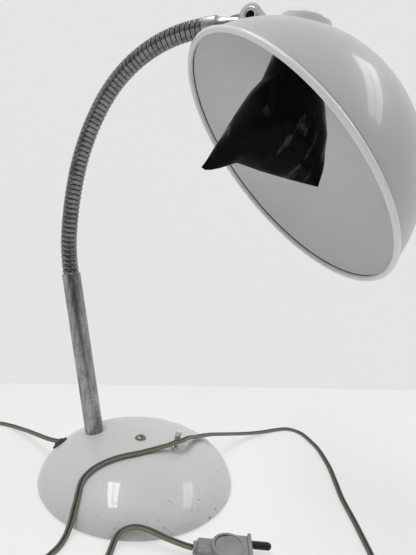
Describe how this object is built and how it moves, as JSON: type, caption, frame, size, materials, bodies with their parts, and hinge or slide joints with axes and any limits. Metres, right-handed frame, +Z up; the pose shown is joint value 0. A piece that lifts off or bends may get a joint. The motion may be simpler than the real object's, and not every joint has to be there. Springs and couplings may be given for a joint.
{
  "type": "gooseneck desk lamp",
  "caption": "Desk lamp with a domed weighted base, leaning stem, strip-wound flexible neck, push switch and tilting, turning bowl shade with a film-wrapped bulb.",
  "frame": {"origin": "centre of the round base's underside, on the table", "axes": "+Z up, +X the way the neck reaches, +Y to the left when looking along +X"},
  "size_m": [0.4844, 0.3472, 0.4318],
  "materials": {
    "grey_enamel": "gloss stoved enamel, light wear",
    "worn_steel": "worn plated steel",
    "bright_nickel": "polished nickel",
    "turned_brass": "turned, uncoated",
    "cast_weight": "as cast",
    "dark_felt": "felt",
    "dark_rubber": "matte",
    "cord_rubber": "satin",
    "ivory_button": "glossy",
    "brown_bakelite": "glossy",
    "clear_glass": "clear",
    "black_film": "glossy thin film",
    "grey_plug": "satin moulding",
    "black_pin": "satin black"
  },
  "bodies": {
    "base": {"base_shell": "grey_enamel", "bottom_plate": "worn_steel", "ballast": "cast_weight", "felt_pad": "dark_felt", "centre_bolt": "bright_nickel", "spacer_tube": "worn_steel", "bolt_nut": "bright_nickel", "stem_tube": "worn_steel", "stem_nipple": "turned_brass", "stem_washer": "bright_nickel", "stem_nut": "bright_nickel", "grommet": "dark_rubber", "cord_clip": "worn_steel", "switch_body": "brown_bakelite", "switch_nut": "bright_nickel", "switch_spring": "bright_nickel", "base_lead": "cord_rubber", "neck_link_00": "worn_steel", "cord_near": "cord_rubber", "cord_far": "cord_rubber", "cord_coil": "cord_rubber", "coil_tie": "dark_rubber", "plug_body": "grey_plug", "plug_cover": "grey_plug", "plug_pins": "black_pin", "plug_screw": "turned_brass", "plug_collar": "dark_rubber"},
    "neck_1": {"neck_link_01": "worn_steel"},
    "neck_2": {"neck_link_02": "worn_steel"},
    "neck_3": {"neck_link_03": "worn_steel"},
    "neck_4": {"neck_link_04": "worn_steel"},
    "neck_5": {"neck_link_05": "worn_steel"},
    "neck_6": {"neck_link_06": "worn_steel"},
    "neck_7": {"neck_link_07": "worn_steel"},
    "neck_8": {"neck_link_08": "worn_steel"},
    "neck_9": {"neck_link_09": "worn_steel"},
    "neck_10": {"neck_link_10": "worn_steel"},
    "neck_11": {"neck_link_11": "worn_steel"},
    "neck_12": {"neck_link_12": "worn_steel", "neck_ferrule": "bright_nickel"},
    "head": {"tilt_pivot": "bright_nickel", "friction_washers": "turned_brass", "shade_bracket": "grey_enamel", "holder_cap": "grey_enamel", "holder_nipple": "turned_brass", "nipple_nut": "bright_nickel", "holder_body": "brown_bakelite", "thread_shell": "turned_brass", "centre_contact": "turned_brass", "bulb_cap": "bright_nickel", "bulb_glass": "clear_glass", "film_wrap": "black_film"},
    "shade": {"shade": "grey_enamel"},
    "button": {"switch_button": "ivory_button"}
  },
  "joints": [
    {"name": "neck_bend", "type": "hinge", "parent": "base", "child": "neck_1", "pos_m": [-0.09162, -0.0085, 0.19512], "axis": [0, 1, 0], "range_deg": [-7, 3]},
    {"name": "neck_bend_2", "type": "hinge", "parent": "neck_1", "child": "neck_2", "pos_m": [-0.09562, -0.0085, 0.21851], "axis": [0, 1, 0], "range_deg": [-7, 3]},
    {"name": "neck_sway", "type": "hinge", "parent": "neck_2", "child": "neck_3", "pos_m": [-0.09617, -0.0085, 0.24224], "axis": [-0.9996, 0, 0.029], "range_deg": [-6, 6]},
    {"name": "neck_bend_4", "type": "hinge", "parent": "neck_3", "child": "neck_4", "pos_m": [-0.09456, -0.0085, 0.26593], "axis": [0, 1, 0], "range_deg": [-7, 3]},
    {"name": "neck_bend_5", "type": "hinge", "parent": "neck_4", "child": "neck_5", "pos_m": [-0.0911, -0.0085, 0.28942], "axis": [0, 1, 0], "range_deg": [-7, 3]},
    {"name": "neck_sway_6", "type": "hinge", "parent": "neck_5", "child": "neck_6", "pos_m": [-0.08548, -0.0085, 0.31248], "axis": [-0.956, 0, 0.2933], "range_deg": [-6, 6]},
    {"name": "neck_bend_7", "type": "hinge", "parent": "neck_6", "child": "neck_7", "pos_m": [-0.07719, -0.0085, 0.33472], "axis": [0, 1, 0], "range_deg": [-7, 3]},
    {"name": "neck_bend_8", "type": "hinge", "parent": "neck_7", "child": "neck_8", "pos_m": [-0.06635, -0.0085, 0.35584], "axis": [0, 1, 0], "range_deg": [-7, 3]},
    {"name": "neck_sway_9", "type": "hinge", "parent": "neck_8", "child": "neck_9", "pos_m": [-0.05252, -0.0085, 0.3751], "axis": [-0.7533, 0, 0.6576], "range_deg": [-6, 6]},
    {"name": "neck_bend_10", "type": "hinge", "parent": "neck_9", "child": "neck_10", "pos_m": [-0.0353, -0.0085, 0.39141], "axis": [0, 1, 0], "range_deg": [-7, 3]},
    {"name": "neck_bend_11", "type": "hinge", "parent": "neck_10", "child": "neck_11", "pos_m": [-0.0153, -0.0085, 0.40416], "axis": [0, 1, 0], "range_deg": [-7, 3]},
    {"name": "neck_sway_12", "type": "hinge", "parent": "neck_11", "child": "neck_12", "pos_m": [0.00674, -0.0085, 0.41291], "axis": [-0.2786, 0, 0.9604], "range_deg": [-6, 6]},
    {"name": "shade_tilt", "type": "hinge", "parent": "neck_12", "child": "head", "pos_m": [0.0747, -0.0085, 0.42231], "axis": [0, 1, 0], "range_deg": [-75, 12]},
    {"name": "shade_turn", "type": "hinge", "parent": "head", "child": "shade", "pos_m": [0.11705, -0.0085, 0.41381], "axis": [0.1305, 0, 0.9914], "range_deg": [-90, 90]},
    {"name": "button_press", "type": "slide", "parent": "base", "child": "button", "axis": [-0.1247, -0.0321, -0.9917], "range_m": [0, 0.0035], "stiffness_N_per_m": 300, "springref_m": -0.004, "deforming": ["switch_spring"]}
  ],
  "couplings": [
    {"joint": "neck_bend_2", "follows": "neck_bend", "ratio": 1},
    {"joint": "neck_bend_4", "follows": "neck_bend", "ratio": 1},
    {"joint": "neck_bend_5", "follows": "neck_bend", "ratio": 1},
    {"joint": "neck_sway_6", "follows": "neck_sway", "ratio": 1},
    {"joint": "neck_bend_7", "follows": "neck_bend", "ratio": 1},
    {"joint": "neck_bend_8", "follows": "neck_bend", "ratio": 1},
    {"joint": "neck_sway_9", "follows": "neck_sway", "ratio": 1},
    {"joint": "neck_bend_10", "follows": "neck_bend", "ratio": 1},
    {"joint": "neck_bend_11", "follows": "neck_bend", "ratio": 1},
    {"joint": "neck_sway_12", "follows": "neck_sway", "ratio": 1}
  ]
}
